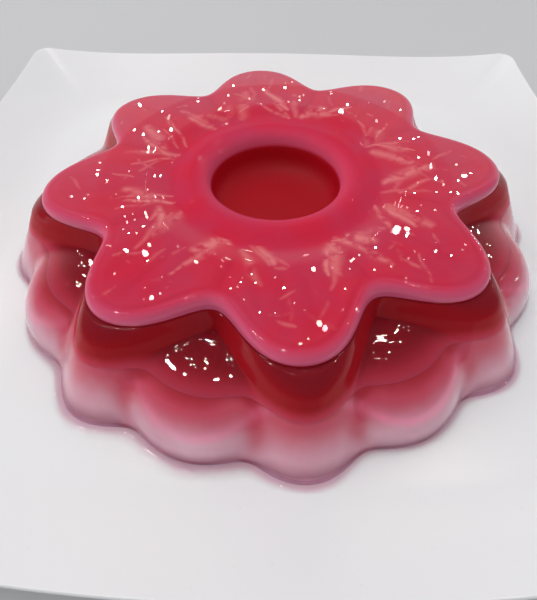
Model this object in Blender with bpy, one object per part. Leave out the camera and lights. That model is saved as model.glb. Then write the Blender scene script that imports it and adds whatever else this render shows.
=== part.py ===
"""Moulded flower jelly on its square plate: four solids, in metres, +Z up.

The plate stands on its foot ring at z = 0. On its flat well lies the jelly, poured in three
layers: a pale base, a clear red middle and an opaque pink flower of eight petals on top. A
round recess goes down through the flower's centre into the red.
"""

import math

import bmesh
import bpy

# The jelly's radii and heights are shares of FOOT_RADIUS, and heights count from the well.
FOOT_RADIUS = 0.106  # mean radius of the lobed outline on the plate
PETALS = 8
TURN = math.radians(7.0)  # how far the jelly is turned on its plate
JELLY_CENTRE = (0.0043, -0.0049)  # where it was tipped out, from the plate's centre
POINTS_ROUND = 96  # six for each of the sixteen lobes of the foot
GAP = 0.0003 / FOOT_RADIUS  # between pieces that lie on each other

# Levels of the pour.
PALE_TOP = 0.195
RED_TOP = 0.312
FLOWER_TOP = 0.358  # at the petals' inner ends
PETAL_DROOP = 0.08  # slope of the petals' upper face down to their tips
DROOP_START = 0.64

# The flower's outline, as waves round it, and the rounding along its upper edge.
FLOWER_MEAN = 0.751
FLOWER_WAVE = 0.092
FLOWER_POINT = 0.0085
FLOWER_OVAL = 0.017  # the flower is this much wider than its mean, and so much shorter
WALL_DRAFT = 0.10
EDGE_ROUND = 0.030

# Lobes of the body: a column under each petal and a dome in each gap. A lobe's front is a
# parabola in plan, and its curve says how fast that falls back to the sides.
COLUMN_FOOT = 1.030
COLUMN_DRAFT = 0.50
COLUMN_TOP = 0.305
COLUMN_SHOULDER = 0.050
COLUMN_CURVE = 3.2  # at the foot
COLUMN_CURVE_GAIN = 32.0  # by the square of the height, so that a column narrows upwards
DOME_INNER = 0.600
DOME_FOOT = 0.996
DOME_TOP = 0.240
DOME_CURVE = 2.0
BLEND_POWER = 40  # of the smooth union; a higher power gives sharper creases

# Lip round the recess, the shallow ring valley outside it, and the recess from rim to floor
# as (radius, height) pairs: first in the pink, then in the red.
VALLEY_RADIUS, VALLEY_DEPTH = 0.385, 0.010
LIP_RADIUS, LIP_RISE = 0.305, 0.008
PINK_RECESS = ((0.262, 0.358), (0.247, 0.344), (0.241, 0.328))
RED_RECESS = ((0.236, 0.280), (0.226, 0.245), (0.205, 0.218), (0.180, 0.208))
RECESS_SEAM = 0.239  # radius where the pink and the red meet in the recess

# The plate. A share of its plan is 0 at the centre and 1 at the rim.
WELL_HEIGHT = 0.008  # upper face of the well above the table
PLATE_THICKNESS = 0.005
CORNER_HALF = 0.138  # half the distance between neighbouring corners
SIDE_BOW = 0.012  # how far each side bows out beyond its corners
CORNER_ROUND = 0.007
RIM_RISE = 0.0127  # of a side's middle above the well
CORNER_RISE = 0.0073  # of a corner above a side's middle
RIM_CURVE = 1.7  # power by which the slope outside the well steepens
WELL_HALF = 0.112
WELL_SQUARENESS = 5.0  # power of the superellipse: 2 is round, and more is squarer
FOOT_OUTER, FOOT_INNER, FOOT_TAPER = 0.84, 0.78, 0.01  # shares of the well
SIDE_POINTS, CORNER_POINTS = 15, 4


def clear_scene():
    for thing in list(bpy.data.objects):
        bpy.data.objects.remove(thing)


def material(name, colour, roughness, transmission=0.0):
    made = bpy.data.materials.new(name)
    made.use_nodes = True
    shader = made.node_tree.nodes["Principled BSDF"]
    shader.inputs["Base Color"].default_value = (*colour, 1.0)
    shader.inputs["Roughness"].default_value = roughness
    shader.inputs["Transmission Weight"].default_value = transmission
    return made


def loft(name, rings, capped, finish):
    """A closed solid through rings of points: each ring is extruded from the one before. If
    capped, the first and last rings are filled; if not, the last is bridged to the first."""
    mesh = bmesh.new()
    ring = [mesh.verts.new(point) for point in rings[0]]
    first_edges = [mesh.edges.new((ring[i - 1], ring[i])) for i in range(len(ring))]
    if capped:
        mesh.faces.new(ring)
    edges = first_edges
    for points in rings[1:]:
        made = bmesh.ops.extrude_edge_only(mesh, edges=edges)["geom"]
        fresh = {item for item in made if isinstance(item, bmesh.types.BMVert)}
        ring = [edge.other_vert(vert) for vert in ring for edge in vert.link_edges
                if edge.other_vert(vert) in fresh]
        for vert, point in zip(ring, points, strict=True):
            vert.co = point
        edges = [item for item in made if isinstance(item, bmesh.types.BMEdge)
                 and fresh.issuperset(item.verts)]
    if capped:
        mesh.faces.new(ring)
    else:
        bmesh.ops.bridge_loops(mesh, edges=edges + first_edges)
    bmesh.ops.recalc_face_normals(mesh, faces=mesh.faces)
    data = bpy.data.meshes.new(name)
    mesh.to_mesh(data)
    mesh.free()
    data.materials.append(finish)
    data.shade_smooth()
    data.set_sharp_from_angle(angle=math.radians(40))
    thing = bpy.data.objects.new(name, data)
    bpy.context.scene.collection.objects.link(thing)


def flower_radius(angle):
    """The flower's outline at an angle from the front petal's axis."""
    waves = FLOWER_WAVE * math.cos(PETALS * angle) - FLOWER_POINT * math.cos(2 * PETALS * angle)
    return (FLOWER_MEAN + waves) * (1.0 - FLOWER_OVAL * math.cos(2 * angle))


def from_axis(angle, shift=0.0):
    """The angle from the nearest lobe's axis, for eight lobes that start shifted by a share."""
    pitch = math.tau / PETALS
    turns = angle / pitch - shift
    return (turns - round(turns)) * pitch


def lobe_radius(front, curve, angle):
    """Radius at an angle from a lobe's axis, where its front is the parabola
    front - curve * sideways**2, with sideways measured across the axis."""
    across, along = math.sin(angle), math.cos(angle)
    return 2.0 * front / (along + math.sqrt(along**2 + 4.0 * curve * front * across**2))


def column_front(height):
    """A drafted front that rounds over into a shoulder at the top."""
    over = max(0.0, height - COLUMN_TOP + COLUMN_SHOULDER)
    if over >= COLUMN_SHOULDER:
        return DOME_INNER
    rounding = COLUMN_SHOULDER - math.sqrt(COLUMN_SHOULDER**2 - over**2)
    return COLUMN_FOOT - COLUMN_DRAFT * height - rounding


def dome_front(height):
    share = max(0.0, 1.0 - (height / DOME_TOP) ** 2.5) ** 0.4
    return DOME_INNER + (DOME_FOOT - DOME_INNER) * share


def body_radius(angle, height):
    """Smooth union of the flower's wall, the column under a petal and the dome in a gap."""
    column_curve = COLUMN_CURVE + COLUMN_CURVE_GAIN * height**2
    parts = (
        flower_radius(angle) + WALL_DRAFT * (RED_TOP - height),
        lobe_radius(column_front(height), column_curve, from_axis(angle)),
        lobe_radius(dome_front(height), DOME_CURVE, from_axis(angle, 0.5)),
    )
    return sum(part**BLEND_POWER for part in parts) ** (1.0 / BLEND_POWER)


def petal_face(radius):
    """Height of the petals' upper face."""
    return FLOWER_TOP - PETAL_DROOP * max(0.0, radius - DROOP_START)


def jelly_ring(radius, height):
    """Points round the jelly. radius maps the angle from the front petal's axis to a radius,
    and height maps that radius to a height above the well."""
    points = []
    for step in range(POINTS_ROUND):
        angle = math.tau * step / POINTS_ROUND
        out = radius(angle)
        heading = angle + TURN - math.pi / 2
        x = JELLY_CENTRE[0] + FOOT_RADIUS * out * math.cos(heading)
        y = JELLY_CENTRE[1] + FOOT_RADIUS * out * math.sin(heading)
        points.append((x, y, WELL_HEIGHT + FOOT_RADIUS * height(out)))
    return points


def body_ring(level):
    return jelly_ring(lambda angle: body_radius(angle, level), lambda out: level)


def round_ring(radius, level):
    return jelly_ring(lambda angle: radius, lambda out: level)


def pale_layer():
    levels = (GAP, 0.03, 0.07, 0.12, 0.16, PALE_TOP - GAP)
    loft("pale_layer", [body_ring(level) for level in levels], True, PALE)


def red_layer():
    domes = (PALE_TOP, 0.218, 0.230, 0.2365, 0.2395)
    columns = (0.255, 0.275, 0.290, 0.299, 0.3045, RED_TOP - GAP)
    rings = [body_ring(level) for level in domes + columns]
    rings.append(round_ring(RECESS_SEAM, RED_TOP - GAP))
    rings += [round_ring(radius, level) for radius, level in RED_RECESS]
    loft("red_layer", rings, True, RED)


def pink_flower():
    rings = [round_ring(RECESS_SEAM, RED_TOP), jelly_ring(flower_radius, lambda out: RED_TOP)]
    for turn in (0.0, math.pi / 5, math.pi / 2):
        inset = EDGE_ROUND * (1.0 - math.cos(turn))
        drop = EDGE_ROUND * (1.0 - math.sin(turn))
        rings.append(
            jelly_ring(lambda angle: flower_radius(angle) - inset, lambda out: petal_face(out) - drop)
        )
    for share in (0.5, 0.0):
        rings.append(
            jelly_ring(
                lambda angle: VALLEY_RADIUS + share * (flower_radius(angle) - EDGE_ROUND - VALLEY_RADIUS),
                lambda out: petal_face(out) - VALLEY_DEPTH * (1.0 - 2.0 * share),
            )
        )
    rings.append(round_ring((VALLEY_RADIUS + LIP_RADIUS) / 2, FLOWER_TOP))
    rings.append(round_ring(LIP_RADIUS, FLOWER_TOP + LIP_RISE))
    rings += [round_ring(radius, level) for radius, level in PINK_RECESS]
    loft("pink_flower", rings, False, PINK)


def rim_outline():
    """Points (x, y, nearness) round the plate's rim, with nearness 0 at a side's middle and 1 at
    a corner. Sides are shallow parabolas, and each corner is an arc."""
    span = CORNER_HALF - CORNER_ROUND
    side = []
    for step in range(SIDE_POINTS + 1):
        along = -1.0 + 2.0 * step / SIDE_POINTS
        side.append((along * span, -CORNER_HALF - SIDE_BOW * (1.0 - along**2), abs(along)))
    for step in range(1, CORNER_POINTS):
        turn = math.pi / 2 * step / CORNER_POINTS
        side.append((span + CORNER_ROUND * math.sin(turn), -span - CORNER_ROUND * math.cos(turn), 1.0))
    points = []
    for quarter in range(4):
        cos, sin = ((1, 0), (0, 1), (-1, 0), (0, -1))[quarter]
        points += [(x * cos - y * sin, x * sin + y * cos, nearness) for x, y, nearness in side]
    return points


def plate():
    outline = rim_outline()

    def well_point(x, y):
        power = WELL_SQUARENESS
        scale = WELL_HALF / (abs(x) ** power + abs(y) ** power) ** (1.0 / power)
        return x * scale, y * scale

    def well_ring(share, height):
        return [(*(share * value for value in well_point(x, y)), height) for x, y, _ in outline]

    def slope_ring(share, lift):
        """A ring at a share of the way from the well's edge to the rim, on the upper face or
        lifted off it."""
        ring = []
        for x, y, nearness in outline:
            inner_x, inner_y = well_point(x, y)
            rise = (RIM_RISE + CORNER_RISE * nearness**4) * share**RIM_CURVE
            ring.append(
                (
                    inner_x + share * (x - inner_x),
                    inner_y + share * (y - inner_y),
                    WELL_HEIGHT + rise + lift,
                )
            )
        return ring

    below = WELL_HEIGHT - PLATE_THICKNESS
    upper = [well_ring(0.5, WELL_HEIGHT)]
    upper += [slope_ring(share, 0.0) for share in (0.0, 0.25, 0.5, 0.75, 0.95)]
    edge = [slope_ring(1.0, -0.0014), slope_ring(0.99, -0.0034)]
    under = [slope_ring(share, -PLATE_THICKNESS) for share in (0.8, 0.5, 0.2, 0.0)]
    foot = [
        well_ring(FOOT_OUTER + FOOT_TAPER, below),
        well_ring(FOOT_OUTER, 0.0),
        well_ring(FOOT_INNER, 0.0),
        well_ring(FOOT_INNER - FOOT_TAPER, below),
    ]
    loft("plate", upper + edge + under + foot, True, PORCELAIN)


clear_scene()
PALE = material("pale_jelly", (0.62, 0.32, 0.40), 0.12)
RED = material("red_jelly", (0.30, 0.010, 0.018), 0.08, transmission=0.7)
PINK = material("pink_jelly", (0.56, 0.030, 0.070), 0.12)
PORCELAIN = material("white_porcelain", (0.80, 0.80, 0.80), 0.15)
plate()
pale_layer()
red_layer()
pink_flower()
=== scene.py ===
import math

import bpy
import numpy as np
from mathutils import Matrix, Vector


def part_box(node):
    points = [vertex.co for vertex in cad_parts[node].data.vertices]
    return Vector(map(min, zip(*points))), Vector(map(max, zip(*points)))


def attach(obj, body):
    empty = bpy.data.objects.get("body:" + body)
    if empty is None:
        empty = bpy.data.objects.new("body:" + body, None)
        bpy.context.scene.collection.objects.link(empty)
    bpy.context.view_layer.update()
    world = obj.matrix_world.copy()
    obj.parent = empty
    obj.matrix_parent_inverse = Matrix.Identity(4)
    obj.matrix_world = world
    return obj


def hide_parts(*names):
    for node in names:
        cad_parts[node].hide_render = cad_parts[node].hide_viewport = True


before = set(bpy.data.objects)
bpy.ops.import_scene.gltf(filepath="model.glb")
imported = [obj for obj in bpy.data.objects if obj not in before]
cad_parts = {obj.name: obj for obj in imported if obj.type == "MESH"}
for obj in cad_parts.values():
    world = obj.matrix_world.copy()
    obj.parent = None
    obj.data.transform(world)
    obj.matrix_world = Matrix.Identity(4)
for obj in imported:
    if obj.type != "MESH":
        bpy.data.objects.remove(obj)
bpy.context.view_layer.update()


# ----------------------------------------------------------------------------------------
# Plate. One piece of white glazed porcelain, with a flat well, sides that bow outwards and
# raised corners. It is pressed in a mould, glazed and fired on its foot ring.
# ----------------------------------------------------------------------------------------
PLATE_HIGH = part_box("plate")[1]
PLATE_REACH = PLATE_HIGH.x  # from the centre to the middle of a side
CORNER_HALF = 0.92 * PLATE_REACH  # half the distance between neighbouring corners
CORNER_ROUND = 0.007
PLATE_THICKNESS = 0.005
WELL = 0.008  # upper face of the well above the table
WELL_HALF = 0.112
WELL_SQUARENESS = 5.0  # power of the superellipse: 2 is round, and more is squarer
CORNER_TOP = PLATE_HIGH.z + 0.0010  # where the slope of a corner points, past its rounded lip
SIDE_DROP = 0.0073  # of a side's middle below its corners
SLOPE_POWER = 1.7  # by which the slope outside the well steepens
SLOPE_END = 0.975  # share of the way up the slope where the lip's curve begins
LIP_START = 0.988  # share of the way up the slope where the lip's half round is centred
LIP_HALF = 0.0016  # half the thickness of the rounded lip
RIM_THINNING = 0.0018  # by which the plate is thinner at its rim than in its well
FOOT_OUTER, FOOT_INNER = 0.85, 0.77  # shares of the well
FOOT_EDGE, FOOT_EDGE_RISE = 0.004, 0.0005  # its rounded edge: a share of the well, and a height
FOOT_FILLET, FOOT_FILLET_DROP = 0.012, 0.0006  # where it meets the underside, in the same way
SHARP_ANGLE = math.radians(35)  # an edge that turns by more stays crisp

GLAZE_WHITE, GLAZE_THIN = (0.865, 0.868, 0.872), (0.840, 0.848, 0.858)
GLAZE_SPECK = (0.62, 0.60, 0.58)


class Shade:
    """One output socket of a material's nodes. Arithmetic on it adds Math nodes, and node()
    adds any other node."""

    def __init__(self, tree, socket=None):
        self.tree = tree
        self.socket = socket

    def node(self, kind, settings=(), inputs=(), output=0):
        """The output of a new node. settings are its own properties, such as its operation, and
        inputs are values or Shades by socket."""
        made = self.tree.nodes.new(kind)
        for name, value in dict(settings).items():
            setattr(made, name, value)
        for key, value in dict(inputs).items():
            if isinstance(value, Shade):
                self.tree.links.new(value.socket, made.inputs[key])
            else:
                made.inputs[key].default_value = value
        return Shade(self.tree, made.outputs[output])

    def maths(self, operation, *terms):
        """A Math node over Shades and numbers."""
        return self.node("ShaderNodeMath", {"operation": operation}, enumerate(terms))

    def __add__(self, other):
        return self.maths("ADD", self, other)

    def __sub__(self, other):
        return self.maths("SUBTRACT", self, other)

    def __rsub__(self, other):
        return self.maths("SUBTRACT", other, self)

    def __mul__(self, other):
        return self.maths("MULTIPLY", self, other)

    __radd__ = __add__
    __rmul__ = __mul__

    def band(self, start, end):
        """0 before start and 1 after end, with a smooth rise between them."""
        span = {"From Min": start, "From Max": end, 0: self}
        return self.node("ShaderNodeMapRange", {"interpolation_type": "SMOOTHSTEP"}, span)

    def mottle(self, scale, detail, roughness=0.5, stretch=(1.0, 1.0, 1.0)):
        """Soft noise from 0 to 1, at a scale in features per metre, where this Shade is the
        place to read it at."""
        place = self.node("ShaderNodeMapping", inputs={"Vector": self, "Scale": stretch})
        noise = {"Vector": place, "Scale": scale, "Detail": detail, "Roughness": roughness}
        return self.node("ShaderNodeTexNoise", inputs=noise)

    def tint(self, plain, tinted):
        """A colour between two, with this Shade as the share of the second. A Mix node keeps
        its two colours in inputs 6 and 7, and gives their mix as output 2."""
        colours = {
            key: value if isinstance(value, Shade) else (*value, 1.0)
            for key, value in ((6, plain), (7, tinted))
        }
        return self.node("ShaderNodeMix", {"data_type": "RGBA"}, {0: self, **colours}, 2)

    def bumps(self, distance, strength=1.0):
        """The surface's normal, with this Shade as a height in units of the distance."""
        return self.node("ShaderNodeBump", inputs={
            "Height": self, "Distance": distance, "Strength": strength,
        })


def new_finish(name, constants):
    """A material with these constants on its shader, and its places to start nodes from."""
    finish = bpy.data.materials.new(name)
    finish.use_nodes = True
    shader = finish.node_tree.nodes["Principled BSDF"]
    for socket, value in constants.items():
        shader.inputs[socket].default_value = value
    place = Shade(finish.node_tree).node("ShaderNodeTexCoord", output="Object")
    return finish, place


def coat(finish, **varying):
    """Links what varies over the surface to the finish's shader."""
    shader = finish.node_tree.nodes["Principled BSDF"]
    for socket, shade in varying.items():
        finish.node_tree.links.new(shade.socket, shader.inputs[socket.replace("_", " ")])


def height_of(place):
    """The third coordinate of a place, or of a direction."""
    return place.node("ShaderNodeSeparateXYZ", inputs={0: place}, output=2)


def mark_of(place, name):
    """A number that cast() wrote to the mesh's points."""
    return place.node("ShaderNodeAttribute", {"attribute_name": name}, output="Fac")


def cast(name, rings, finish, closed=False, marks=()):
    """A solid over rings of points, as an array (ring, point, xyz). Each ring wraps round and
    is joined by quads to the next. The first and last ring are each filled by a fan to their
    middle or, if closed, joined to each other. Rings that turn anticlockwise and run from the
    middle of the underside, up the outside and back over the top point outwards. marks are
    numbers for each point, by name, that the finish reads."""
    count, around = rings.shape[:2]
    points = rings.reshape(-1, 3)
    here = np.arange(around)
    there = np.roll(here, -1)
    lower = np.arange(count if closed else count - 1)[:, None] * around
    upper = (lower + around) % (count * around)
    quads = np.stack([lower + here, lower + there, upper + there, upper + here], axis=-1)
    faces = quads.reshape(-1, 4).tolist()
    if not closed:
        points = np.concatenate([points, rings[0].mean(0)[None], rings[-1].mean(0)[None]])
        first = np.stack([np.full(around, len(points) - 2), there, here], axis=-1)
        last_ring = (count - 1) * around
        tip = np.full(around, len(points) - 1)
        last = np.stack([last_ring + here, last_ring + there, tip], axis=-1)
        faces += first.tolist() + last.tolist()
    mesh = bpy.data.meshes.new(name)
    mesh.from_pydata(points.tolist(), [], faces)
    mesh.materials.append(finish)
    mesh.shade_smooth()
    mesh.set_sharp_from_angle(angle=SHARP_ANGLE)
    for mark, values in dict(marks).items():
        padded = np.zeros(len(points), np.float32)
        padded[:values.size] = values.ravel()
        mesh.attributes.new(mark, "FLOAT", "POINT").data.foreach_set("value", padded)
    piece = bpy.data.objects.new(name, mesh)
    bpy.context.scene.collection.objects.link(piece)
    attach(piece, "root")
    return piece


def smooth_step(value, start, end):
    """0 before start and 1 after end, with the curve 3t^2 - 2t^3 between them."""
    share = np.clip((value - start) / (end - start), 0.0, 1.0)
    return share * share * (3.0 - 2.0 * share)


def plate_outline(side_points=56, corner_points=8):
    """(x, y, nearness to a corner) round the rim: each side is a shallow parabola, and each
    corner is an arc."""
    span = CORNER_HALF - CORNER_ROUND
    along = np.linspace(-1.0, 1.0, side_points)
    turn = np.linspace(0.0, math.pi / 2, corner_points)[1:-1]
    bow = (PLATE_REACH - CORNER_HALF) * (1.0 - along**2)
    x = np.concatenate([along * span, span + CORNER_ROUND * np.sin(turn)])
    y = np.concatenate([-CORNER_HALF - bow, -span - CORNER_ROUND * np.cos(turn)])
    near = np.concatenate([np.abs(along), np.ones(len(turn))])
    quarters = [(x, y), (-y, x), (-x, -y), (y, -x)]
    round_x, round_y = (np.concatenate(parts) for parts in zip(*quarters))
    return round_x, round_y, np.tile(near, len(quarters))


def plate_rings():
    """Rings from the middle of the underside, over the foot ring and the rim, to the middle of
    the well. A flat ring is the well's superellipse, scaled. A slope ring goes a share of the
    way from that superellipse to the rim, and rises by that share to a power. The sides dip
    between the corners by the fourth power of the nearness to a corner."""
    x, y, near = plate_outline()
    powers = np.abs(x)**WELL_SQUARENESS + np.abs(y)**WELL_SQUARENESS
    scale = WELL_HALF / powers**(1 / WELL_SQUARENESS)
    rise = CORNER_TOP - WELL - SIDE_DROP * (1.0 - near**4)

    def flat(share, height):
        return np.stack([share * scale * x, share * scale * y, np.full_like(x, height)], -1)

    def slope(share, lift):
        level = WELL + rise * share**SLOPE_POWER + lift
        out = scale + share * (1 - scale)
        return np.stack([x * out, y * out, level], -1)

    below = WELL - PLATE_THICKNESS
    foot_side = (
        (FOOT_FILLET, below),
        (FOOT_FILLET / 2, below - FOOT_FILLET_DROP),
        (0.0, FOOT_EDGE_RISE),
        (-FOOT_EDGE, 0.0),
    )
    rings = [flat(share, below) for share in (0.2, 0.5)]
    rings += [flat(FOOT_INNER - away, height) for away, height in foot_side]
    rings += [flat(FOOT_OUTER + away, height) for away, height in reversed(foot_side)]
    rings += [flat(0.93, below)]
    shares = np.linspace(0.0, SLOPE_END, 14)
    rings += [slope(share, -PLATE_THICKNESS + RIM_THINNING * share**2) for share in shares]
    for turn in np.linspace(-math.pi / 2, math.pi / 2, 9):
        share = LIP_START + (1.0 - LIP_START) * math.cos(turn)
        rings.append(slope(share, LIP_HALF * (math.sin(turn) - 1.0)))
    rings += [slope(share, 0.0) for share in np.linspace(SLOPE_END, 0.0, 22)]
    rings += [flat(share, WELL) for share in (0.985, 0.95, 0.88, 0.7, 0.45, 0.2)]
    return np.array(rings)


def porcelain():
    """White glaze: a touch warmer and duller where it lies thin, with its faint orange peel."""
    finish, place = new_finish("white_porcelain", {"IOR": 1.5, "Specular IOR Level": 0.35})
    cloud = place.mottle(14.0, 3.0).band(0.35, 0.7)
    speck = place.mottle(900.0, 1.0).band(0.74, 0.8)
    white = cloud.tint(GLAZE_WHITE, GLAZE_THIN)
    coat(
        finish,
        Base_Color=(speck * 0.25).tint(white, GLAZE_SPECK),
        Roughness=cloud * 0.01 + 0.24,
        Normal=place.mottle(160.0, 2.0).bumps(0.00012, 0.35),
    )
    return finish


plate = cast("plate_glazed", plate_rings(), porcelain())
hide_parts("plate")


# ----------------------------------------------------------------------------------------
# Pale layer. Milky pink jelly, poured last into the mould and so at the bottom of the turned
# out jelly. Its sixteen lobes stand on the well: a column under each petal, a dome in each gap.
# ----------------------------------------------------------------------------------------
FOOT_RADIUS = 0.106  # the jelly's radii and heights are shares of this
CENTRE_X, CENTRE_Y = 0.0043, -0.0049  # where the jelly was tipped out
TURN = math.radians(7.0)  # of the front petal, anticlockwise from the plate's front
PETALS = 8
AROUND = np.linspace(0.0, math.tau, 768, endpoint=False)  # from the front petal's axis

COLUMN_FOOT, COLUMN_DRAFT = 1.030, 0.50  # radius of its front at the foot, and its lean inwards
COLUMN_TOP, COLUMN_SHOULDER = 0.305, 0.050  # its level, and the radius of the shoulder below it
COLUMN_CURVE, COLUMN_CURVE_GAIN = 3.2, 32.0  # how fast a front falls back, at the foot and above
DOME_INNER, DOME_FOOT = 0.600, 0.996  # radius of its front at the top and at the foot
DOME_TOP, DOME_CURVE = 0.240, 2.0
DOME_POWER = 2.5  # of the superellipse that a dome's front follows upwards
BLEND_POWER = 40  # of the smooth union; a higher power gives sharper creases
FLOWER_MEAN, FLOWER_OVAL = 0.751, 0.017  # its radius, and its stretch to an oval
FLOWER_WAVE, FLOWER_POINT = 0.092, 0.0085  # the petals, and what shapes their tips
WALL_DRAFT = 0.10  # by which the wall under the flower widens downwards
SEAM = 0.0003 / FOOT_RADIUS  # by which a layer reaches into the one that it lies on
PALE_FILLING = (0.3, 0.7, 1.0)  # rings of the bottom, as shares of its outline

CREASE_WIDTH = 0.040  # how far apart a column and a dome are where a crease fades
DOME_WIDTH = 0.17  # angle from a dome's axis at which its stain fades
GLOW_LEVEL, GLOW_CURVE = 0.112, 1.3  # of the middle line of a crescent of painted glow, a parabola
GLOW_WIDTH, GLOW_HEIGHT = 0.20, 0.016
CREASE_DROP, DOME_DROP = 0.0020, 0.0006  # by which the colours lie lower there, in metres
STAIN_DEPTH, STAIN_LESS = 0.0143, 0.0042  # down from the top, and by how much less on a dome
FOOT_FADE = (WELL + 0.0012, WELL + 0.0078)  # heights between which the foot's painted shade ends
FRINGE_FADE = (WELL + 0.0027, WELL + 0.0002)  # heights between which its fringe grows

MILK_DEEP, MILK_PALE = (0.61, 0.320, 0.405), (0.72, 0.440, 0.525)
WISP_RED = (0.62, 0.18, 0.26)
COLUMN_ROSE = (0.62, 0.14, 0.20)
# the red's stain in the creases, with painted shade
CREASE_SHADE_ROSE, CREASE_SEEP_AND_SHADE = (0.60, 0.15, 0.22), (0.46, 0.035, 0.070)
# the red's stain from the top; the deep one is also painted shade on level faces under the red
STAIN_CRIMSON, STAIN_AND_SHADE_DEEP = (0.54, 0.066, 0.112), (0.40, 0.024, 0.042)
PAINTED_GLOW_PINK = (0.98, 0.28, 0.46)
# painted shade at the foot, where it meets the plate, and its paler fringe
FOOT_SHADE_MAUVE, FOOT_FRINGE = (0.39, 0.140, 0.205), (0.84, 0.52, 0.65)


def level_of(height):
    """A height in metres as a share of the foot radius above the well."""
    return (height - WELL) / FOOT_RADIUS


PALE_TOP = level_of(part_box("pale_layer")[1].z) + SEAM
RED_TOP = level_of(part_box("pink_flower")[0].z)


def flower_radius(angle):
    """The flower's outline: a mean radius with eight waves, sharpened a little, and an oval."""
    waves = FLOWER_WAVE * np.cos(PETALS * angle) - FLOWER_POINT * np.cos(2 * PETALS * angle)
    return (FLOWER_MEAN + waves) * (1.0 - FLOWER_OVAL * np.cos(2 * angle))


def from_axis(angle, shift=0.0):
    """The angle from the nearest lobe's axis, for eight lobes that start shifted by a share."""
    pitch = math.tau / PETALS
    turns = angle / pitch - shift
    return (turns - np.round(turns)) * pitch


def lobe_radius(front, curve, angle):
    """Radius at an angle from a lobe's axis, where its front is the parabola
    front - curve * sideways^2, with sideways measured across the axis."""
    across, along = np.sin(angle), np.cos(angle)
    return 2.0 * front / (along + np.sqrt(along**2 + 4.0 * curve * front * across**2))


def dome_curve(share):
    """The other share of a superellipse: the two, each to the power, add up to 1."""
    return (1.0 - np.clip(share, 0.0, 1.0)**DOME_POWER)**(1 / DOME_POWER)


def body_parts(angle, level):
    """Radii of the flower's wall, of the column under a petal, whose drafted front rounds over
    into a shoulder by a quarter circle, and of the dome in a gap."""
    over = np.clip(level - COLUMN_TOP + COLUMN_SHOULDER, 0.0, COLUMN_SHOULDER)
    front = COLUMN_FOOT - COLUMN_DRAFT * level - COLUMN_SHOULDER
    front = front + np.sqrt(COLUMN_SHOULDER**2 - over**2)
    front = np.where(over < COLUMN_SHOULDER, front, DOME_INNER)
    column = lobe_radius(front, COLUMN_CURVE + COLUMN_CURVE_GAIN * level**2, from_axis(angle))
    dome_front = DOME_INNER + (DOME_FOOT - DOME_INNER) * dome_curve(level / DOME_TOP)
    dome = lobe_radius(dome_front, DOME_CURVE, from_axis(angle, 0.5))
    wall = flower_radius(angle) + WALL_DRAFT * (RED_TOP - level)
    return wall, column, dome


def body_radius(angle, level):
    """The smooth union of the body's parts, as a power mean."""
    return sum(part**BLEND_POWER for part in body_parts(angle, level))**(1 / BLEND_POWER)


def stand(radius, level, angle=AROUND):
    """Points of the jelly from its radii and levels round its turned axis, as an array
    (ring, point, xyz)."""
    heading = angle + TURN - math.pi / 2
    x = CENTRE_X + FOOT_RADIUS * radius * np.cos(heading)
    y = CENTRE_Y + FOOT_RADIUS * radius * np.sin(heading)
    z = WELL + FOOT_RADIUS * level
    return np.stack(np.broadcast_arrays(x, y, z), axis=-1)


def body_rings(levels, inset=0.0):
    """Rings round the body at levels, drawn in by an inset."""
    level = np.array(levels)[:, None]
    return stand(body_radius(AROUND, level) - inset, level)


def filled(ring, shares):
    """Rings that shrink one ring towards its middle by shares, to fill it."""
    middle = ring.mean(0)
    return middle + np.array(shares)[:, None, None] * (ring - middle)


def pale_rings():
    """The bottom, which reaches just into the plate, the side, and the top, which reaches just
    into the red. The side is marked where it is a crease, a dome, and a crescent of painted
    glow whose middle line rises by the square of the angle from a dome's axis. Each mark falls
    off as a bell."""
    levels = np.linspace(0.0, PALE_TOP, 40)
    side = body_rings(levels)
    bottom = body_rings([-SEAM], 0.004)
    top = body_rings([PALE_TOP + SEAM], 2 * SEAM)
    rings = np.concatenate([
        filled(bottom[0], PALE_FILLING),
        side,
        top,
        filled(top[0], (0.95, 0.85, 0.6, 0.3)),
    ])
    _, column, dome = body_parts(AROUND, levels[:, None])
    marks = {name: np.zeros(rings.shape[:2]) for name in ("crease", "painted_glow", "dome")}
    sides = slice(len(PALE_FILLING), len(PALE_FILLING) + len(levels))
    marks["crease"][sides] = np.exp(-((column - dome) / CREASE_WIDTH)**2)
    aside = from_axis(AROUND, 0.5)
    marks["dome"][sides] = np.exp(-(aside / DOME_WIDTH)**2)
    # a crescent of painted glow on each dome, where light would gather
    aside = aside + 0.03 * np.sin(5 * AROUND)
    above = levels[:, None] - GLOW_LEVEL - GLOW_CURVE * aside**2
    painted_glow = np.exp(-(aside / GLOW_WIDTH)**2 - (above / GLOW_HEIGHT)**2)
    marks["painted_glow"][sides] = painted_glow * (0.7 + 0.3 * np.sin(3 * AROUND + 0.7))
    return rings, marks


def facing_up(place):
    """1 where the surface lies level and faces up, and 0 where it is steep."""
    return height_of(place.node("ShaderNodeNewGeometry", output="Normal")).band(0.3, 0.9)


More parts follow.
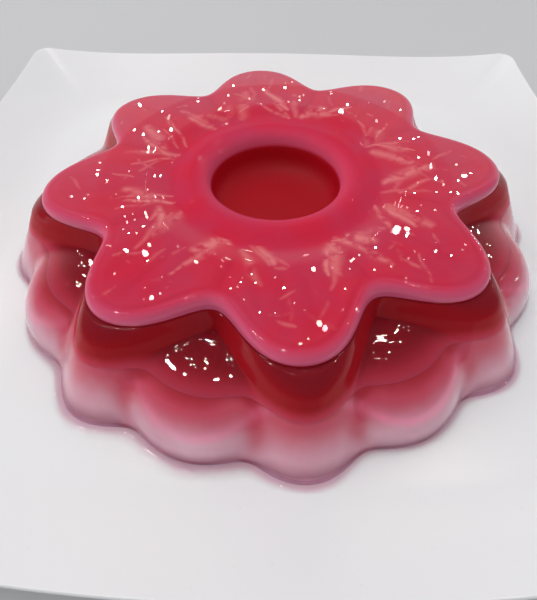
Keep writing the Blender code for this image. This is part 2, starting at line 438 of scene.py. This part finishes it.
def milky_jelly():
    """Pale mauve milk jelly. The red that it was poured on has stained it crimson from the top
    and down its creases, where painted shade darkens it too, as it does the level faces just
    under the red. A painted pink glow lies in a crescent on each dome, and painted shade darkens
    its foot to mauve where it meets the plate and stands in its own melt, with a paler fringe
    at the very bottom."""
    finish, place = new_finish("pale_jelly", {
        "IOR": 1.35,
        "Subsurface Weight": 0.7,
        "Subsurface Radius": (1.0, 0.35, 0.45),
        "Subsurface Scale": 0.006,
        "Coat Weight": 0.6,
        "Coat Roughness": 0.04,
        "Coat IOR": 1.35,
    })
    drift = (place.mottle(55.0, 2.0) - 0.5) * 0.004
    crease = mark_of(place, "crease")
    dome = mark_of(place, "dome")
    height = height_of(place) + drift + crease * CREASE_DROP + dome * DOME_DROP
    top = WELL + FOOT_RADIUS * PALE_TOP
    stain = height.band(dome * STAIN_LESS + (top - STAIN_DEPTH), top - 0.0010)
    # painted shade just under the red, reaching further down on level faces
    deep_stain_and_shade = (height + facing_up(place) * 0.0012).band(top - 0.0010, top + 0.0022)
    # painted shade at the foot, where it meets the plate
    painted_foot_shade = 1.0 - (height + crease * CREASE_DROP).band(*FOOT_FADE)
    fringe = height.band(*FRINGE_FADE)
    cloud = place.mottle(38.0, 3.0).band(0.3, 0.75)
    milk = cloud.tint(MILK_DEEP, MILK_PALE)
    # the stain in the creases, darkened by painted shade
    seep_and_shade = crease * height.band(WELL + 0.003, top - 0.004)
    wisp = place.mottle(60.0, 4.0, 0.6, (1.0, 1.0, 0.45)).band(0.52, 0.75)
    wisp = wisp * height.band(WELL + 0.004, top)
    milk = (wisp * 0.4).tint(milk, WISP_RED)
    milk = ((1.0 - dome) * 0.16).tint(milk, COLUMN_ROSE)
    milk = (crease * 0.35).tint(milk, CREASE_SHADE_ROSE)
    milk = (seep_and_shade * 0.75).tint(milk, CREASE_SEEP_AND_SHADE)
    stained_and_shaded = deep_stain_and_shade.tint(stain.tint(milk, STAIN_CRIMSON), STAIN_AND_SHADE_DEEP)
    # painted glow in the crescents
    painted_glow = mark_of(place, "painted_glow") * wisp.band(-0.6, 0.5)
    stained_and_shaded = (painted_glow * 0.85).tint(stained_and_shaded, PAINTED_GLOW_PINK)
    coat(
        finish,
        Base_Color=(painted_foot_shade * 0.92).tint(stained_and_shaded, fringe.tint(FOOT_SHADE_MAUVE, FOOT_FRINGE)),
        Roughness=place.mottle(90.0, 2.0) * 0.12 + 0.12,
        Normal=place.mottle(120.0, 3.0).bumps(0.0006, 0.5),
    )
    return finish


PALE_RINGS, PALE_MARKS = pale_rings()
pale_layer = cast("pale_layer_poured", PALE_RINGS, milky_jelly(), marks=PALE_MARKS)
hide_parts("pale_layer")


# ----------------------------------------------------------------------------------------
# Red layer. Clear red jelly between the flower and the pale layer. The domes end in it, and
# the mould's core left the round recess that ends just above the pale layer.
# ----------------------------------------------------------------------------------------
RECESS_SEAM = 0.239  # radius of the recess where the red meets the flower
RECESS_FLOOR, RECESS_POWER = 0.208, 4.0  # its profile is a superellipse, round at 2
RECESS_FADE = (0.24, 0.27)  # radii between which its look ends and the outer skin's begins
RED_PAINTED_LIGHT = (0.92, 0.084, 0.150)  # painted light, low on the side, where light comes through
# painted shade under the flower, on steep faces and, darker, on level ones
RED_SHADED_STEEP, RED_SHADED_LEVEL = (0.47, 0.010, 0.018), (0.30, 0.010, 0.020)
RED_RECESS = (0.60, 0.005, 0.016)
RED_DYE = {"Color": (0.99, 0.0, 0.15, 1.0), "Density": 300.0}


def red_rings():
    """The bottom, the side with levels that are close where a dome or a shoulder lies flat,
    the top, which reaches just into the flower, and the recess, whose radius and depth follow
    a superellipse."""
    dome_levels = DOME_TOP * dome_curve(np.linspace(0.62, 0.0, 26))
    rise = np.linspace(PALE_TOP, dome_levels[0], 6)[:-1]
    wall = np.linspace(DOME_TOP + 0.0008, COLUMN_TOP - COLUMN_SHOULDER, 5)[:-1]
    turns = np.linspace(0.0, math.pi / 2, 16)
    shoulder = COLUMN_TOP - COLUMN_SHOULDER * (1.0 - np.sin(turns))
    ledge = [COLUMN_TOP + 0.0002, RED_TOP]
    side = body_rings(np.concatenate([rise, dome_levels, wall, shoulder, ledge]))
    top = body_rings([RED_TOP + SEAM], 0.006)
    turns = np.linspace(0.0, math.pi / 2, 30)[:-1, None]
    radii = RECESS_SEAM * np.cos(turns)**(2 / RECESS_POWER)
    levels = RED_TOP - (RED_TOP - RECESS_FLOOR) * np.sin(turns)**(2 / RECESS_POWER)
    recess = stand(np.broadcast_to(radii, (len(radii), len(AROUND))), levels)
    rim = stand(np.full((1, len(AROUND)), RECESS_SEAM + 0.002), RED_TOP + SEAM)
    return np.concatenate([filled(side[0], (0.3, 0.7, 0.95)), side, top, rim, recess])


def clear_jelly():
    """Clear red gelatine, which takes green and blue out of the light within a millimetre or
    two. Its skin is glossy and gently uneven, and the recess is duller. Its colour is painted
    light low on the side and painted shade higher up under the flower, darker on level faces."""
    finish, place = new_finish("red_jelly", {
        "IOR": 1.35,
        "Transmission Weight": 0.35,
        "Specular IOR Level": 0.0,
        "Coat Roughness": 0.015,
        "Coat IOR": 1.34,
        "Subsurface Weight": 0.5,
        "Subsurface Radius": (1.0, 0.12, 0.12),
        "Subsurface Scale": 0.006,
    })
    to_axis = (-CENTRE_X, -CENTRE_Y, 0.0)
    axis = place.node("ShaderNodeMapping", inputs={"Vector": place, "Location": to_axis})
    sideways = {0: axis, 1: (1.0, 1.0, 0.0)}
    flat = axis.node("ShaderNodeVectorMath", {"operation": "MULTIPLY"}, sideways)
    away = flat.node("ShaderNodeVectorMath", {"operation": "LENGTH"}, {0: flat}, output="Value")
    skin = away.band(*(radius * FOOT_RADIUS for radius in RECESS_FADE))
    upright = facing_up(place)
    low, high = (WELL + FOOT_RADIUS * level for level in (PALE_TOP - 0.010, DOME_TOP - 0.002))
    # painted light low on the side, turning into painted shade under the flower
    shade = (height_of(place) + upright * 0.0008).band(low, high)
    body = shade.tint(RED_PAINTED_LIGHT, upright.tint(RED_SHADED_STEEP, RED_SHADED_LEVEL))
    coat(
        finish,
        Base_Color=skin.tint(RED_RECESS, body),
        Roughness=skin * -0.48 + 0.50,
        Coat_Weight=skin * (upright * 0.9 + 0.1),
        Normal=place.mottle(60.0, 1.0).bumps(0.00006, 1.0),
    )
    absorption = place.node("ShaderNodeVolumeAbsorption", inputs=RED_DYE)
    output = finish.node_tree.nodes["Material Output"]
    finish.node_tree.links.new(absorption.socket, output.inputs["Volume"])
    return finish


red_layer = cast("red_layer_poured", red_rings(), clear_jelly())
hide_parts("red_layer")


# ----------------------------------------------------------------------------------------
# Pink flower. Opaque crimson-pink milk jelly, poured first into the mould's flower: eight
# petals with raised borders and faint veins, and a smooth lip round the recess.
# ----------------------------------------------------------------------------------------
FLOWER_TOP = 0.358
PETAL_DROOP, DROOP_START = 0.08, 0.64  # slope of the tips, and the radius where it starts
EDGE_ROUND = 0.030
EDGE_FADE = (-0.01, 0.044)  # distances from the edge between which its painted reflection fades
VALLEY_RADIUS, VALLEY_DEPTH = 0.385, 0.010  # the shallow ring between the petals and the lip
LIP_RADIUS, LIP_RISE = 0.305, 0.0075
PINK_RECESS = (  # its side downwards, as radius and level
    (0.283, 0.3645), (0.268, 0.3605), (0.257, 0.3535), (0.249, 0.345), (0.244, 0.335), (0.241, 0.325),
)
PETAL_ROWS = 84
LIP_ROWS = 14
BORDER_HEIGHT, BORDER_INSET, BORDER_WIDTH = 0.40, 0.045, 0.040  # of the ridge inside an edge
GROOVE_DEPTH, GROOVE_WIDTH = 0.30, 0.028  # of the line in a crease
VEIN_HEIGHT, VEIN_WAVES, VEIN_SPREAD = 0.14, 75.0, 0.11  # of the lines along a petal
CORNER_SHARPNESS = 40.0  # of the soft minimum that carries a border round a crease
RELIEF_LIFT = 0.00002 / FOOT_RADIUS  # rise of the mesh for a relief of 1, faint as in the mould
CREASE_STROKES, PETAL_STROKES = 4, 7  # smears on each side of a crease, and painted highlight streaks over a petal

PINK_CRIMSON, PINK_MILKY = (0.60, 0.022, 0.055), (0.54, 0.034, 0.082)
# painted sheen on the ridges, and painted shade in the grooves
RIDGE_SHEEN_PINK, GROOVE_SHADE_RED = (0.66, 0.075, 0.110), (0.50, 0.014, 0.045)
# painted reflection of the room along the rounded edge and in the recess
EDGE_REFLECTION_PINK = (0.62, 0.120, 0.230)
# salmon smears, with painted highlight streaks along the petals
SMEAR_AND_HIGHLIGHT_SALMON = (0.76, 0.19, 0.20)


def petal_face(radius):
    """Level of the petals' upper face before its relief: flat, then sloping down in a straight
    line towards the tips."""
    return FLOWER_TOP - PETAL_DROOP * np.maximum(0.0, radius - DROOP_START)


def petal_relief(radius, angle, edge):
    """Border ridges along each petal's edge and creases, less a groove in each crease, with
    veins along the petal, as a number below 1. The border lies where the soft minimum of the
    distances to the edge and to the crease has one value, and the veins are waves across the
    petal that fade away from its axis."""
    across = from_axis(angle)
    crease = radius * np.sin(math.pi / PETALS - np.abs(across))
    inset = np.exp(-CORNER_SHARPNESS * edge) + np.exp(-CORNER_SHARPNESS * crease)
    inset = -np.log(inset) / CORNER_SHARPNESS
    petal = np.round(angle * PETALS / math.tau) % PETALS
    border = np.exp(-((inset - BORDER_INSET) / BORDER_WIDTH)**2) * smooth_step(radius, 0.42, 0.56)
    groove = np.exp(-(crease / GROOVE_WIDTH)**2) * smooth_step(radius, 0.38, 0.50)
    sideways = radius * np.sin(across) / (0.35 + radius)
    veins = np.cos(sideways * VEIN_WAVES + petal * 2.1) * np.exp(-(sideways / VEIN_SPREAD)**2)
    veins = veins * smooth_step(radius, 0.46, 0.56) * smooth_step(inset, 0.04, 0.09)
    return BORDER_HEIGHT * border - GROOVE_DEPTH * groove + VEIN_HEIGHT * veins


def smears_and_highlights(radius, angle):
    """Pale salmon strokes: many beside the creases, crossing in narrow Vs, and thin short ones
    over the petals, which are painted highlight streaks. A stroke fades with the distance to its
    middle line, and slow waves bend it a little."""
    x, y = radius * np.cos(angle), radius * np.sin(angle)
    bent_x = x + 0.004 * np.sin(60.0 * y + 2.0)
    bent_y = y + 0.004 * np.sin(53.0 * x + 0.5)
    hand = np.random.default_rng(21)
    strokes = []
    for petal in range(PETALS):
        crease = (petal + 0.5) * math.tau / PETALS
        for side in (-1.0, 1.0) * CREASE_STROKES:
            near, far = hand.uniform(0.37, 0.46), hand.uniform(0.45, 0.60)
            start = crease + side * hand.uniform(-0.05, 0.20)
            end = start + side * hand.uniform(0.05, 0.24)
            width = hand.choice([0.004, 0.006, 0.009, 0.015])
            strokes.append((near, start, far, end, width, hand.uniform(0.3, 1.0)))
        axis = petal * math.tau / PETALS
        for _ in range(PETAL_STROKES):
            near = hand.uniform(0.44, 0.74)
            start = axis + hand.normal(0.0, 0.12)
            far, end = near + hand.uniform(-0.03, 0.10), start + hand.normal(0.0, 0.08)
            width = hand.uniform(0.0025, 0.005)
            strokes.append((near, start, far, end, width, hand.uniform(0.15, 0.6)))
    total = np.zeros(np.broadcast(radius, angle).shape)
    for near, start, far, end, width, strength in strokes:
        start_x, start_y = near * math.cos(start), near * math.sin(start)
        run_x, run_y = far * math.cos(end) - start_x, far * math.sin(end) - start_y
        share = ((bent_x - start_x) * run_x + (bent_y - start_y) * run_y) / (run_x**2 + run_y**2)
        share = np.clip(share, 0.0, 1.0)
        away = np.hypot(bent_x - start_x - share * run_x, bent_y - start_y - share * run_y)
        taper = width * (0.35 + 1.3 * np.sin(math.pi * (0.15 + 0.7 * share)))
        total = np.maximum(total, strength * np.exp(-(away / taper)**2))
    return total


def flower_rings():
    """The underside, the wall, the edge rounded by a quarter circle, the petals inwards to the
    valley, the lip and the recess. It also gives the marks that the finish reads, and the row
    of the petals' outermost ring."""
    outline = flower_radius(AROUND)
    slope = np.gradient(outline, AROUND)
    turns = np.linspace(0.0, math.pi / 2, 14)[:, None]
    edge_radius = outline - EDGE_ROUND * (1.0 - np.cos(turns))
    edge_level = petal_face(edge_radius) - EDGE_ROUND * (1.0 - np.sin(turns))
    wall_level = RED_TOP + np.linspace(0.0, 1.0, 4)[:-1, None] * (edge_level[0] - RED_TOP)
    wall = stand(np.broadcast_to(outline, wall_level.shape), wall_level)
    inner = outline - EDGE_ROUND
    share = np.linspace(0.0, 1.0, PETAL_ROWS)[1:, None]
    radius = inner + share * (VALLEY_RADIUS - inner)
    edge = (outline - radius) / np.sqrt(1.0 + (slope / outline)**2)
    dip = VALLEY_DEPTH * smooth_step(-radius, -VALLEY_RADIUS - 0.10, -VALLEY_RADIUS)
    relief = petal_relief(radius, AROUND, edge) * smooth_step(edge, EDGE_ROUND, EDGE_ROUND + 0.03)
    lift = RELIEF_LIFT * relief * smooth_step(edge, EDGE_ROUND, EDGE_ROUND + 0.02)
    petals = stand(radius, petal_face(radius) - dip + lift)
    lip_radius = np.linspace(VALLEY_RADIUS, LIP_RADIUS, LIP_ROWS)[1:, None]
    lip_share = smooth_step(-lip_radius, -VALLEY_RADIUS, -LIP_RADIUS)
    lip_level = FLOWER_TOP - VALLEY_DEPTH + (VALLEY_DEPTH + LIP_RISE) * lip_share
    lip = stand(np.broadcast_to(lip_radius, (len(lip_radius), len(AROUND))), lip_level)
    radii, levels = np.array(PINK_RECESS).T[:, :, None]
    recess = stand(np.broadcast_to(radii, (len(radii), len(AROUND))), levels)
    under = stand(np.array([RECESS_SEAM, 0.45, 0.6])[:, None] * np.ones(len(AROUND)), RED_TOP)
    rings = np.concatenate([under, wall, stand(edge_radius, edge_level), petals, lip, recess])
    marks = {name: np.zeros(rings.shape[:2]) for name in ("relief", "smear_and_highlight", "rim", "gloss")}
    first = len(under) + len(wall) + len(edge_radius)
    rows = slice(first, first + len(radius))
    edge_rows = slice(first - len(edge_radius), first)
    marks["relief"][rows] = relief
    marks["smear_and_highlight"][rows] = smears_and_highlights(radius, AROUND)
    marks["gloss"][:first] = 1.0
    marks["gloss"][rows] = smooth_step(radius, VALLEY_RADIUS - 0.01, VALLEY_RADIUS + 0.03)
    # the rim mark paints a reflection along the wall and the rounded edge
    marks["rim"][len(under):first] = 1.0
    marks["rim"][edge_rows] = 1.0 - smooth_step(outline - edge_radius, *EDGE_FADE)
    marks["rim"][rows] = 1.0 - smooth_step(edge, *EDGE_FADE)
    # and painted light in the recess, more the deeper it lies
    marks["rim"][-len(recess):] = np.linspace(0.1, 0.6, len(recess))[:, None]
    return rings, marks, first


def flower_jelly():
    """Crimson-pink milk jelly with salmon smears, under a wet skin that shows on the petals and
    not on the lip. Painted reflection lightens its edge and recess, painted sheen its ridges and
    painted highlight streaks its petals, and painted shade darkens its grooves."""
    finish, place = new_finish("pink_jelly", {
        "IOR": 1.36,
        "Roughness": 0.5,
        "Specular IOR Level": 0.0,
        "Coat Roughness": 0.008,
        "Coat IOR": 1.36,
        "Subsurface Weight": 0.25,
        "Subsurface Radius": (1.0, 0.25, 0.35),
        "Subsurface Scale": 0.003,
    })
    cloud = place.mottle(45.0, 3.0).band(0.3, 0.7)
    pink = cloud.tint(PINK_CRIMSON, PINK_MILKY)
    rim = mark_of(place, "rim")
    broken = place.mottle(230.0, 3.0).band(0.28, 0.58)
    smear_and_highlight = mark_of(place, "smear_and_highlight") * broken
    ridge = mark_of(place, "relief")
    # painted sheen on the ridges and painted shade in the grooves
    pink = (ridge.band(0.05, 0.45) * 0.10).tint(pink, RIDGE_SHEEN_PINK)
    pink = (ridge.band(0.0, -0.30) * 0.50).tint(pink, GROOVE_SHADE_RED)
    # painted reflection along the edge and in the recess
    pink = (rim * 0.85).tint(pink, EDGE_REFLECTION_PINK)
    coat(
        finish,
        Base_Color=smear_and_highlight.tint(pink, SMEAR_AND_HIGHLIGHT_SALMON),
        Coat_Weight=mark_of(place, "gloss") * 0.9 + 0.1,
        Normal=ridge.bumps(0.0010, 1.0),
    )
    return finish


FLOWER_RINGS, FLOWER_MARKS, FACE_FIRST = flower_rings()
pink_flower = cast(
    "pink_flower_poured", FLOWER_RINGS, flower_jelly(), closed=True, marks=FLOWER_MARKS
)
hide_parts("pink_flower")


# ----------------------------------------------------------------------------------------
# Melt. A thin clear film of melted jelly, tinted pink, that has run from the jelly's foot on
# to the plate. It climbs the foot a little and ends in a low uneven edge.
# ----------------------------------------------------------------------------------------
MELT_REACH = 0.022  # its mean width beyond the foot
MELT_THICKNESS, MELT_CLIMB = 0.0040, 0.012
MELT_TUCK = 0.02  # by which it reaches in behind the foot's skin
MELT_WAVES = ((3, 0.007, 1.0), (7, 0.006, 2.5), (17, 0.003, 0.0))  # number, size and start
SPILL_REACH = 0.040  # by which it has run further at one place
SPILL_TURN, SPILL_WIDTH = 0.07, 0.05  # of that place, as angles divided by the number of petals
MELT_CLEAR, MELT_ROSE = (1.0, 1.0, 1.0), (0.62, 0.20, 0.32)


def melt_rings():
    """Rings from under the foot outwards and back over the top, and each point's nearness to
    the foot. The film's reach beyond the foot is a sum of waves round the jelly and of a bell
    at the spill. Its thickness is a quarter ellipse over the reach, with a fourth power that
    climbs the foot."""
    foot = body_radius(AROUND, 0.0)
    spill = np.exp(-(from_axis(AROUND / PETALS + SPILL_TURN) / SPILL_WIDTH)**2)
    waves = (size * np.sin(number * AROUND + start) for number, size, start in MELT_WAVES)
    reach = sum(waves, MELT_REACH) + SPILL_REACH * spill
    share = np.linspace(1.0, 0.0, 14)[:, None]
    thickness = MELT_THICKNESS * np.sqrt(1.0 - share**2) + MELT_CLIMB * (1.0 - share)**4
    top = stand(foot + share * reach, thickness)
    under = stand(foot + np.array([-0.009, 0.3, 1.0])[:, None] * reach, -SEAM)
    inner = stand(foot[None] - MELT_TUCK, MELT_CLIMB)
    rings = np.concatenate([under, top, inner])
    near = np.ones(rings.shape[:2])
    near[1:-1] = np.array([0.7, 0.0, *(1.0 - share[:, 0])])[:, None]
    return rings, {"near": near}


def melted_jelly():
    """Clear liquid, pinker and denser towards the foot. It is partly see-through besides, so
    that the plate under it keeps its light."""
    finish, place = new_finish("jelly_melt", {
        "IOR": 1.34,
        "Transmission Weight": 1.0,
        "Roughness": 0.01,
        "Coat Weight": 1.0,
        "Coat Roughness": 0.03,
        "Coat IOR": 1.34,
    })
    near = mark_of(place, "near") + (place.mottle(70.0, 3.0) - 0.5) * 0.5
    coat(
        finish,
        Base_Color=near.band(0.0, 0.7).tint(MELT_CLEAR, MELT_ROSE),
        Alpha=near.band(0.2, 1.0) * 0.2 + 0.4,
        Normal=place.mottle(110.0, 2.0).bumps(0.0004, 0.6),
    )
    return finish


MELT_RINGS, MELT_MARKS = melt_rings()
melt_film = cast(
    "melt_film", MELT_RINGS, melted_jelly(), closed=True, marks=MELT_MARKS
)


# ----------------------------------------------------------------------------------------
# Floor, light and camera. A plain pale floor, a soft light overhead with a weaker one at the
# left, and a pale studio that is darker where the glossy surfaces mirror it.
# ----------------------------------------------------------------------------------------
FLOOR_PALE, FLOOR_DARKER = (0.60, 0.60, 0.61), (0.56, 0.56, 0.57)
STUDIO_PALE = (0.97, 0.98, 1.0, 1.0)
STUDIO_STRENGTH = 0.70
MIRROR_DIMMING, BACK_GLEAM = 0.58, 0.75  # of the studio, as glossy surfaces mirror it
JELLY_FOOT = Vector((CENTRE_X, CENTRE_Y, WELL))
VIEW_CENTRE = Vector((0.0041, -0.0051, WELL))  # that the camera's places are measured from
CAMERA_AT = VIEW_CENTRE + FOOT_RADIUS * Vector((0.021, -1.672, 1.585))
CAMERA_TO = VIEW_CENTRE + FOOT_RADIUS * Vector((-0.011, -0.478, 0.2))

floor_finish, floor_place = new_finish("pale_floor", {"Roughness": 0.6})
coat(floor_finish, Base_Color=floor_place.mottle(3.0, 2.0).tint(FLOOR_PALE, FLOOR_DARKER))
floor_mesh = bpy.data.meshes.new("floor")
floor_mesh.from_pydata([(-3, -3, 0), (3, -3, 0), (3, 3, 0), (-3, 3, 0)], [], [(0, 1, 2, 3)])
floor_mesh.materials.append(floor_finish)
floor = bpy.data.objects.new("floor", floor_mesh)
bpy.context.scene.collection.objects.link(floor)

world = bpy.data.worlds.new("studio")
world.use_nodes = True
background = world.node_tree.nodes["Background"]
background.inputs["Color"].default_value = STUDIO_PALE
sky = Shade(world.node_tree).node("ShaderNodeTexCoord", output="Generated")
passed = sky.node("ShaderNodeLightPath", output="Is Transmission Ray")
mirrored = sky.node("ShaderNodeLightPath", output="Is Glossy Ray") * (1.0 - passed)
behind = sky.node("ShaderNodeSeparateXYZ", inputs={0: sky}, output=1).band(0.2, 0.8)
gleam = behind * height_of(sky).band(0.80, 0.35) * BACK_GLEAM
strength = mirrored * (gleam - MIRROR_DIMMING) + STUDIO_STRENGTH
world.node_tree.links.new(strength.socket, background.inputs["Strength"])
bpy.context.scene.world = world
bpy.context.scene.view_settings.view_transform = "Standard"


def light(name, kind, at, energy, colour, **settings):
    """A light at a point, turned to the jelly."""
    data = bpy.data.lights.new(name, kind)
    data.energy = energy
    data.color = colour
    for setting, value in settings.items():
        setattr(data, setting, value)
    lamp = bpy.data.objects.new(name, data)
    lamp.location = at
    lamp.rotation_euler = (lamp.location - JELLY_FOOT).to_track_quat("Z", "Y").to_euler()
    bpy.context.scene.collection.objects.link(lamp)
    return lamp


overhead = light("overhead", "AREA", (-0.3, 0.35, 1.5), 7.0, (1.0, 0.985, 0.97), size=1.2)
overhead.visible_glossy = False
left = light("left", "AREA", (-1.1, -0.15, 0.22), 3.4, (1.0, 0.97, 0.97), size=0.6)
left.visible_glossy = False

camera_data = bpy.data.cameras.new("camera")
camera_data.sensor_width = 36.0
camera_data.lens = 33.15
camera = bpy.data.objects.new("camera", camera_data)
bpy.context.scene.collection.objects.link(camera)
camera.location = CAMERA_AT
camera.rotation_euler = (CAMERA_TO - CAMERA_AT).to_track_quat("-Z", "Y").to_euler()
bpy.context.scene.camera = camera


# ----------------------------------------------------------------------------------------
# Glints. The wet skin mirrors many small warm lamps as bright dots, on the petals, in the
# domes and on the melt. Each lamp hangs where its own spot of the skin mirrors it.
# ----------------------------------------------------------------------------------------
LAMP_COLOURS = ((1.0, 1.0, 1.0), (1.0, 0.82, 0.66), (1.0, 0.62, 0.64))
LAMP_AWAY = 2.0
GOLDEN_TURN = 2.39996  # spreads a series evenly round the flower
PETAL_GLINTS = 180
GLINTS_FROM, GLINTS_INSET = 0.46, 0.03  # their inner radius, and their distance from the edge
SMALL_LAMP, LARGER_LAMP, LARGER_EVERY = 0.0044, 0.0065, 13  # radii, and how often a larger one
PETAL_POWER, WIDE_POWER, MELT_POWER = 1000.0, 2000.0, 5000.0  # for a radius squared of 1
DOME_GLINTS, DOME_LAMP, DOME_LAMP_ENERGY = 72, 0.008, 0.50
DOMES_SEEN = 4  # those at the front
MELT_ROW = 10  # the ring on the melt's top that glints
WIDE_GLINTS = (  # a few larger ones on the petals, as turn, radius and size
    (-0.96, 0.63, 0.012), (-0.87, 0.59, 0.011), (0.09, 0.73, 0.014), (0.07, 0.71, 0.011),
    (0.13, 0.50, 0.010), (0.82, 0.50, 0.015), (0.86, 0.53, 0.011), (1.46, 0.69, 0.010),
    (0.79, 0.65, 0.008), (-0.65, 0.71, 0.010), (-1.65, 0.65, 0.008), (2.46, 0.50, 0.010),
    (-3.12, 0.48, 0.009), (-0.02, 0.77, 0.010),
)
MELT_GLINTS = ((-0.50, 0.055), (-0.44, 0.03), (-0.20, 0.04))  # as turn and size
lamp_places = np.random.default_rng(8)


def glint(spot, beside, above, energy, size):
    """A small lamp in the direction in which a spot of a surface mirrors the camera's line of
    sight. It shows only as a reflection. The other two points lie next to the spot,
    anticlockwise and upwards."""
    upright = (beside - spot).cross(above - spot).normalized()
    at = spot + LAMP_AWAY * (spot - CAMERA_AT).normalized().reflect(upright)
    colour = LAMP_COLOURS[lamp_places.integers(3)]
    lamp = light("glint", "POINT", at, energy, colour, shadow_soft_size=size)
    lamp.visible_diffuse = False
    lamp.visible_transmission = False
    lamp.visible_volume_scatter = False


def ring_at(radius, turn):
    """The ring of the flower's upper face that passes nearest to a radius."""
    column = round(turn / math.tau * len(AROUND)) % len(AROUND)
    across = FLOWER_RINGS[FACE_FIRST:, column, :2] - (CENTRE_X, CENTRE_Y)
    return FACE_FIRST + np.abs(np.hypot(*across.T) - radius * FOOT_RADIUS).argmin()


def corner(rings, row, turn):
    """Three neighbouring points of a mesh of rings, from a ring and an angle from the front
    petal's axis."""
    column = round(turn / math.tau * len(AROUND))
    places = ((row, column), (row, column + 1), (row + 1, column))
    return [Vector(rings[up, along % len(AROUND)]) for up, along in places]


for number in range(PETAL_GLINTS):
    turn = number * GOLDEN_TURN + lamp_places.normal(0.0, 0.08)
    if math.cos(turn) < 0.0 and number % 2:
        continue  # the back half has half as many
    outer = flower_radius(turn) - EDGE_ROUND - GLINTS_INSET
    share = (number + lamp_places.uniform()) / PETAL_GLINTS
    radius = math.sqrt(GLINTS_FROM**2 + share * (outer**2 - GLINTS_FROM**2))
    size = SMALL_LAMP if number % LARGER_EVERY else LARGER_LAMP
    energy = PETAL_POWER * size**2 * math.exp(lamp_places.normal(0.0, 1.1))
    glint(*corner(FLOWER_RINGS, ring_at(radius, turn), turn), energy, size)

for turn, radius, size in WIDE_GLINTS:
    spots = corner(FLOWER_RINGS, ring_at(radius, turn), turn)
    glint(*spots, WIDE_POWER * size**2, size)

for number in range(DOME_GLINTS):
    dome = number % DOMES_SEEN - (DOMES_SEEN - 1) / 2
    turn = dome * math.tau / PETALS + lamp_places.normal(0.0, 0.09)
    level = DOME_TOP * dome_curve(lamp_places.uniform(0.24, 0.54))
    spots = ((turn, level), (turn + 0.002, level), (turn, level + 0.0004))
    spots = [Vector(stand(body_radius(angle, height), height, angle)) for angle, height in spots]
    glint(*spots, DOME_LAMP_ENERGY * math.exp(lamp_places.normal(0.0, 0.8)), DOME_LAMP)

for turn, size in MELT_GLINTS:
    glint(*corner(MELT_RINGS, MELT_ROW, turn), MELT_POWER * size**2, size)
